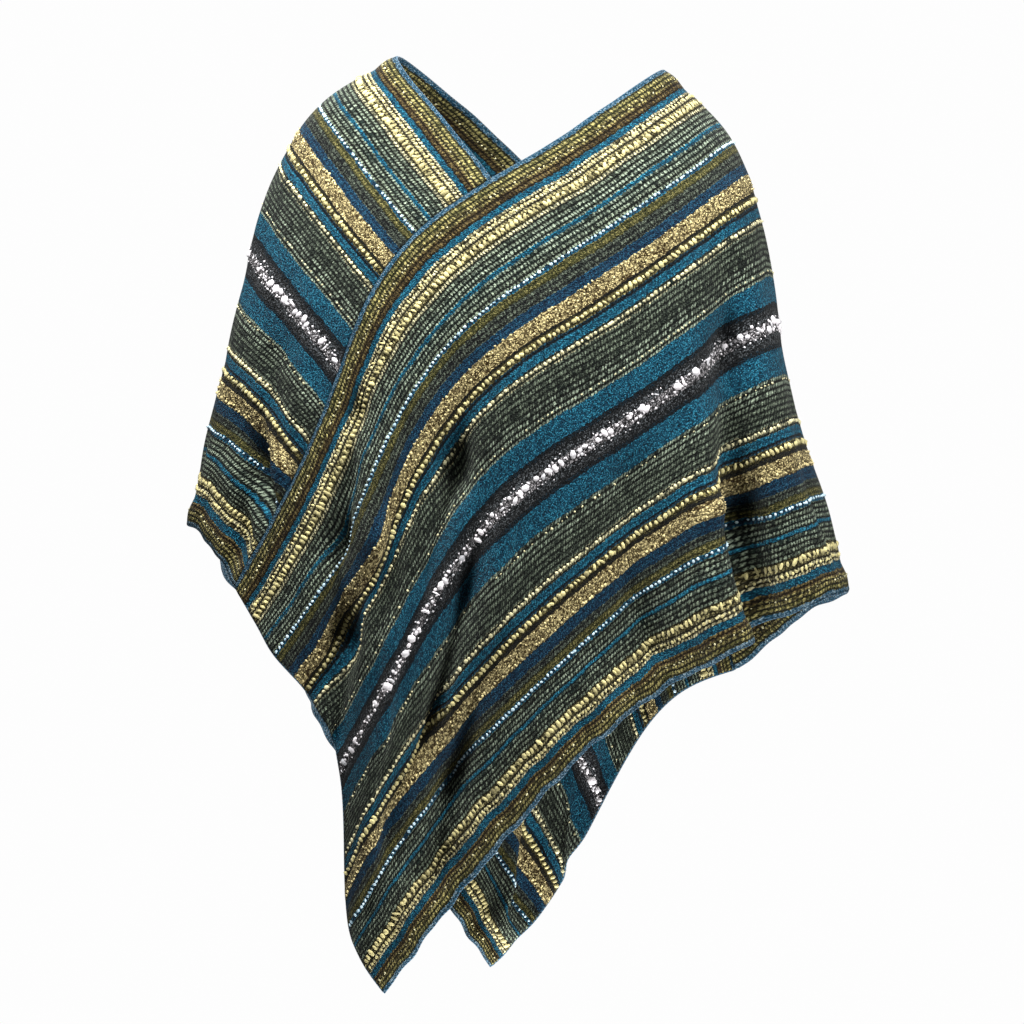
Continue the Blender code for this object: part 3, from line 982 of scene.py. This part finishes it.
@dataclass
class KnotTemplate:
    """A small rounded lump with few faces: rings of points between two poles."""

    rings: int = 3
    sides: int = 6

    def points(self) -> np.ndarray:
        """Points of a ball of radius 1, north pole first and south pole last."""
        polar = np.pi * np.arange(1, self.rings + 1) / (self.rings + 1)
        round_angle = 2.0 * np.pi * np.arange(self.sides) / self.sides
        x = np.outer(np.sin(polar), np.cos(round_angle))
        y = np.outer(np.sin(polar), np.sin(round_angle))
        z = np.repeat(np.cos(polar)[:, None], self.sides, axis=1)
        body = np.stack((x, y, z), axis=-1).reshape(-1, 3)
        return np.concatenate(([[0.0, 0.0, 1.0]], body, [[0.0, 0.0, -1.0]]))

    def faces(self) -> tuple[np.ndarray, np.ndarray]:
        """Triangles at the poles and quads between the rings, facing out."""
        here = np.arange(self.sides)
        after = (here + 1) % self.sides
        top = np.stack((np.zeros_like(here), 1 + here, 1 + after), axis=-1)
        last = 1 + (self.rings - 1) * self.sides
        foot = np.stack((np.full_like(here, last + self.sides), last + after, last + here), axis=-1)
        quads = [np.stack((1 + r * self.sides + here, 1 + (r + 1) * self.sides + here,
                           1 + (r + 1) * self.sides + after, 1 + r * self.sides + after), axis=-1)
                 for r in range(self.rings - 1)]
        return np.concatenate((top, foot)), np.concatenate(quads)


@dataclass
class WovenPanel:
    """One panel of the poncho, with its knots and bound edges. The spreads say how uneven the knots'
    spacing, size, turn and tone are, and the limits how far a knot may outgrow its row."""

    side: Side
    grid: ClothGrid
    seed: int
    edge_radius: float = 0.0012
    edge_sides: int = 8
    tip_radius: float = 1e-5
    end_margin: float = 0.004
    spacing_spread: float = 0.12
    size_spread: float = 0.6
    width_limit: float = 1.5
    thickness_limit: float = 1.25
    turn_spread: float = 0.35
    usual_tone: float = 0.80
    tone_spread: float = 0.24
    knot: KnotTemplate = field(default_factory=KnotTemplate)

    def relief(self) -> np.ndarray:
        """Height of the outside at each place across: a bell curve for each raised or sunk band."""
        share = self.grid.across / PANEL_WIDTH
        return sum(height * np.exp(-((share - middle) / half) ** 2) for middle, half, height in BAND_RELIEF)

    def cloth(self, material: bpy.types.Material) -> bpy.types.Object:
        """Build the cloth: the middle surface moved out and in by half the wall, closed by a rim.

        Args:
            material: The woven finish.

        Returns:
            The panel's cloth.
        """
        grid = self.grid
        rows, columns = grid.points.shape[:2]
        lift = (CLOTH_WALL / 2.0 + self.relief() * 0.5)[None, :, None]
        outer = grid.points + grid.normals * lift
        inner = grid.points - grid.normals * lift
        number = np.arange(rows * columns).reshape(rows, columns)
        quads = np.stack((number[:-1, :-1], number[:-1, 1:], number[1:, 1:], number[1:, :-1]), axis=-1)
        quads = quads.reshape(-1, 4)
        rim = np.concatenate((number[0, :], number[1:, -1], number[-1, -2::-1], number[-2:0:-1, 0]))
        after = np.roll(rim, -1)
        edge = np.stack((after, rim, rim + rows * columns, after + rows * columns), axis=-1)
        faces = np.concatenate((quads, quads[:, ::-1] + rows * columns, edge))
        vertices = np.concatenate((outer.reshape(-1, 3), inner.reshape(-1, 3)))
        piece = add_mesh(f"{self.side.value}_cloth", vertices, faces.tolist(), material)
        flat = np.stack(np.meshgrid(grid.along, grid.across, indexing="ij"), axis=-1).reshape(-1, 2)
        set_uv(piece, np.concatenate((flat, flat)))
        return piece

    def knots(self, name: str, rows: tuple, material: bpy.types.Material) -> bpy.types.Object:
        """Build rows of raised knots as one mesh.

        Each knot is the template stretched to its own size and turned a little in the cloth, with
        its middle on the cloth's middle surface, so that it shows on both faces.

        Args:
            name: What the knots are.
            rows: The rows to build.
            material: Their finish.

        Returns:
            The joined knots.
        """
        chance = np.random.default_rng(self.seed + len(rows) * 17)
        ball = self.knot.points()
        bodies, tones = [], []
        for row in rows:
            along = np.arange(self.end_margin, PANEL_LENGTH - self.end_margin, row.step)
            along = along + chance.normal(0.0, self.spacing_spread * row.step, len(along))
            along = along[chance.random(len(along)) < row.filled]
            across = row.share * PANEL_WIDTH + chance.normal(0.0, row.stray * row.half_width, len(along))
            point, run, fall, normal = self.grid.place(along, across)
            size = np.exp(chance.normal(0.0, row.uneven * self.size_spread, (len(along), 3)))
            size *= np.array((row.half_length, row.half_width, row.half_thickness))
            size[:, :2] = np.minimum(size[:, :2], self.width_limit * row.half_width)
            size[:, 2] = np.minimum(size[:, 2], self.thickness_limit * row.half_thickness)
            turn = chance.normal(0.0, self.turn_spread, len(along))[:, None]
            axis_a = run * np.cos(turn) + fall * np.sin(turn)
            axis_b = fall * np.cos(turn) - run * np.sin(turn)
            local = ball[None] * size[:, None, :]
            body = point[:, None] + local[..., :1] * axis_a[:, None] + local[..., 1:2] * axis_b[:, None]
            bodies.append(body + local[..., 2:] * normal[:, None])
            tones.append(np.clip(chance.normal(self.usual_tone, self.tone_spread, len(along)), 0.0, 1.0))
        points = np.concatenate(bodies)
        start = (np.arange(len(points)) * len(ball))[:, None, None]
        triangles, quads = self.knot.faces()
        faces = (triangles[None] + start).reshape(-1, 3).tolist()
        faces += (quads[None] + start).reshape(-1, 4).tolist()
        piece = add_mesh(f"{self.side.value}_{name}", points.reshape(-1, 3), faces, material)
        tone = piece.data.attributes.new(TONE, "FLOAT", "POINT")
        tone.data.foreach_set("value", np.repeat(np.concatenate(tones), len(ball)).astype(np.float32))
        return piece

    def bound_edge(self, material: bpy.types.Material) -> bpy.types.Object:
        """Build the yarn that binds the inner edge, the free end and the outer hem.

        A circle is carried along the rim of the cloth, in the plane of the cloth's normal and of the
        direction at right angles to the rim, and each end closes in a point.

        Args:
            material: The edge yarn's finish.

        Returns:
            The bound edge.
        """
        points, normals = self.grid.points, self.grid.normals
        path = np.concatenate((points[::-1, 0], points[0, 1:], points[1:, -1]))
        normal = np.concatenate((normals[::-1, 0], normals[0, 1:], normals[1:, -1]))
        tangent = unit(np.gradient(path, axis=0))
        aside = unit(np.cross(tangent, normal))
        lift = np.cross(aside, tangent)
        count = len(path)
        radius = np.full(count, self.edge_radius)
        radius[[0, -1]] = self.tip_radius
        angle = 2.0 * np.pi * np.arange(self.edge_sides) / self.edge_sides
        circle = np.cos(angle)[None, :, None] * aside[:, None] + np.sin(angle)[None, :, None] * lift[:, None]
        tube = path[:, None] + circle * radius[:, None, None]
        number = np.arange(count * self.edge_sides).reshape(count, self.edge_sides)
        after = np.roll(number, -1, axis=1)
        faces = np.stack((number[:-1], number[1:], after[1:], after[:-1]), axis=-1).reshape(-1, 4)
        caps = [number[0].tolist(), number[-1, ::-1].tolist()]
        faces = faces.tolist() + caps
        piece = add_mesh(f"{self.side.value}_bound_edge", tube.reshape(-1, 3), faces, material)
        travel = np.concatenate(([0.0], np.cumsum(np.linalg.norm(np.diff(path, axis=0), axis=-1))))
        around = np.arange(self.edge_sides) / self.edge_sides
        set_uv(piece, np.stack(np.meshgrid(travel, around, indexing="ij"), axis=-1).reshape(-1, 2))
        return piece


@dataclass
class Poncho:
    """Both panels with all their pieces and finishes."""

    wearer: str = "wearer's shoulders"
    first_seed: int = 7
    seed_step: int = 100
    pattern_step: float = 3.7

    def build(self) -> None:
        """Build both panels, hang their pieces on the root body and hide the CAD node that each one
        replaces.
        """
        straw = KnotWool(Yarn.STRAW, Yarn.BARK).make("straw_knots")
        gold = KnotWool(Yarn.HONEY, Yarn.GOLD).make("gold_knots")
        cream = KnotWool(Yarn.CREAM, Yarn.OLIVE).make("cream_knots")
        ice = KnotWool(Yarn.ICE, Yarn.STEEL).make("ice_knots")
        silver = KnotWool(Yarn.SNOW, Yarn.ASH, roughness=0.6).make("silver_slubs")
        edging = EdgeYarn().make("edge_yarn")
        for number, (side, grid) in enumerate(zip(Side, hang_panels())):
            panel = WovenPanel(side, grid, number * self.seed_step + self.first_seed)
            wool = WovenWool().make(f"{side.value}_woven_wool", number * self.pattern_step)
            cloth = panel.cloth(wool)
            trims = [
                panel.knots("straw_rows", STRAW_ROWS, straw),
                panel.knots("cream_rows", CREAM_ROWS, cream),
                panel.knots("gold_rows", GOLD_ROWS, gold),
                panel.knots("ice_rows", ICE_ROWS, ice),
                panel.knots("silver_rows", SILVER_ROWS, silver),
                panel.bound_edge(edging),
            ]
            for piece in (cloth, *trims):
                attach(piece, "root")
                LOG.info("%s: %d faces", piece.name, len(piece.data.polygons))
            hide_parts(f"panel_{side.value}_shoulder")


@dataclass
class Studio:
    """Pale floor, soft lights and a camera level with the middle of the poncho."""

    view_middle: tuple[float, float] = (-0.00285, -0.42465)
    view_height: float = 0.9728
    view_plane: float = -0.06
    camera_distance: float = 20.0
    sensor: float = 36.0
    floor_height: float = -1.45
    floor_half: float = 8.0
    floor_tone: float = 0.86
    floor_roughness: float = 0.9
    floor_glow: float = 0.5
    even_light: float = 0.13
    backdrop: float = 0.985
    farthest_seen: float = 100.0

    def floor(self) -> None:
        """Lay a plain pale floor at standing height below the shoulders. It glows a little, so that it
        stays pale far from the lights, and throws no light up at the cloth."""
        graph = Graph("pale_floor")
        graph.shader.inputs["Base Color"].default_value = (*(self.floor_tone,) * 3, 1.0)
        graph.shader.inputs["Roughness"].default_value = self.floor_roughness
        graph.shader.inputs["Emission Color"].default_value = (1.0, 1.0, 1.0, 1.0)
        graph.shader.inputs["Emission Strength"].default_value = self.floor_glow
        half, height = self.floor_half, self.floor_height
        corners = np.array(((-half, -half, height), (half, -half, height), (half, half, height),
                            (-half, half, height)))
        floor = add_mesh("floor", corners, [[0, 1, 2, 3]], graph.material)
        floor.visible_diffuse = False

    def light(self, name: str, place: tuple, size: float, power: float) -> None:
        """Add a square soft light that faces the poncho's middle.

        Args:
            name: Name of the light.
            place: Where it stands (m).
            size: Its side (m).
            power: Its power (W).
        """
        lamp = bpy.data.lights.new(name, "AREA")
        lamp.size, lamp.energy = size, power
        holder = bpy.data.objects.new(name, lamp)
        away = np.array(place) - np.array((0.0, 0.0, self.view_middle[1]))
        flat = float(np.hypot(away[0], away[1]))
        holder.location = place
        holder.rotation_euler = (float(np.arctan2(flat, away[2])), 0.0,
                                 float(np.arctan2(away[1], away[0])) + np.pi / 2.0)
        holder.visible_camera = False
        bpy.context.scene.collection.objects.link(holder)

    def sky(self) -> None:
        """Give even light from all round, and plain white where the camera sees past the floor."""
        world = bpy.data.worlds.new("studio_white")
        world.use_nodes = True
        tree = world.node_tree
        backdrop = tree.nodes["Background"]
        backdrop.inputs[0].default_value = (1.0, 1.0, 1.0, 1.0)
        path = tree.nodes.new("ShaderNodeLightPath")
        level = tree.nodes.new("ShaderNodeMapRange")
        tree.links.new(path.outputs["Is Camera Ray"], level.inputs["Value"])
        level.inputs["To Min"].default_value = self.even_light
        level.inputs["To Max"].default_value = self.backdrop
        tree.links.new(level.outputs["Result"], backdrop.inputs[1])
        bpy.context.scene.world = world

    def camera(self) -> None:
        """Stand a long-lens camera level with the poncho's middle, looking along +Y."""
        lens = bpy.data.cameras.new("camera")
        lens.sensor_width = self.sensor
        lens.lens = self.sensor * self.camera_distance / self.view_height
        lens.clip_end = self.farthest_seen
        holder = bpy.data.objects.new("camera", lens)
        holder.location = (self.view_middle[0], self.view_plane - self.camera_distance, self.view_middle[1])
        holder.rotation_euler = (np.pi / 2.0, 0.0, 0.0)
        bpy.context.scene.collection.objects.link(holder)
        bpy.context.scene.camera = holder

    def build(self) -> None:
        """Set up the whole studio."""
        self.floor()
        self.light("key", (-0.45, -0.8, 0.9), 0.6, 30.0)
        self.light("top", (-0.3, -0.5, 0.62), 0.5, 14.0)
        self.light("right", (0.9, -0.4, 0.6), 0.6, 12.0)
        self.light("low_right", (1.2, -1.0, -0.3), 0.6, 16.0)
        self.light("back", (0.0, 1.2, 0.9), 0.9, 40.0)
        self.light("under", (0.02, 0.0, -1.25), 0.5, 12.0)
        self.sky()
        self.camera()
        bpy.context.scene.view_settings.view_transform = "Standard"


def main() -> None:
    """Build the poncho and its studio."""
    logging.basicConfig(level=logging.INFO, format="%(message)s")
    Poncho().build()
    Studio().build()


if __name__ == "__main__":
    main()
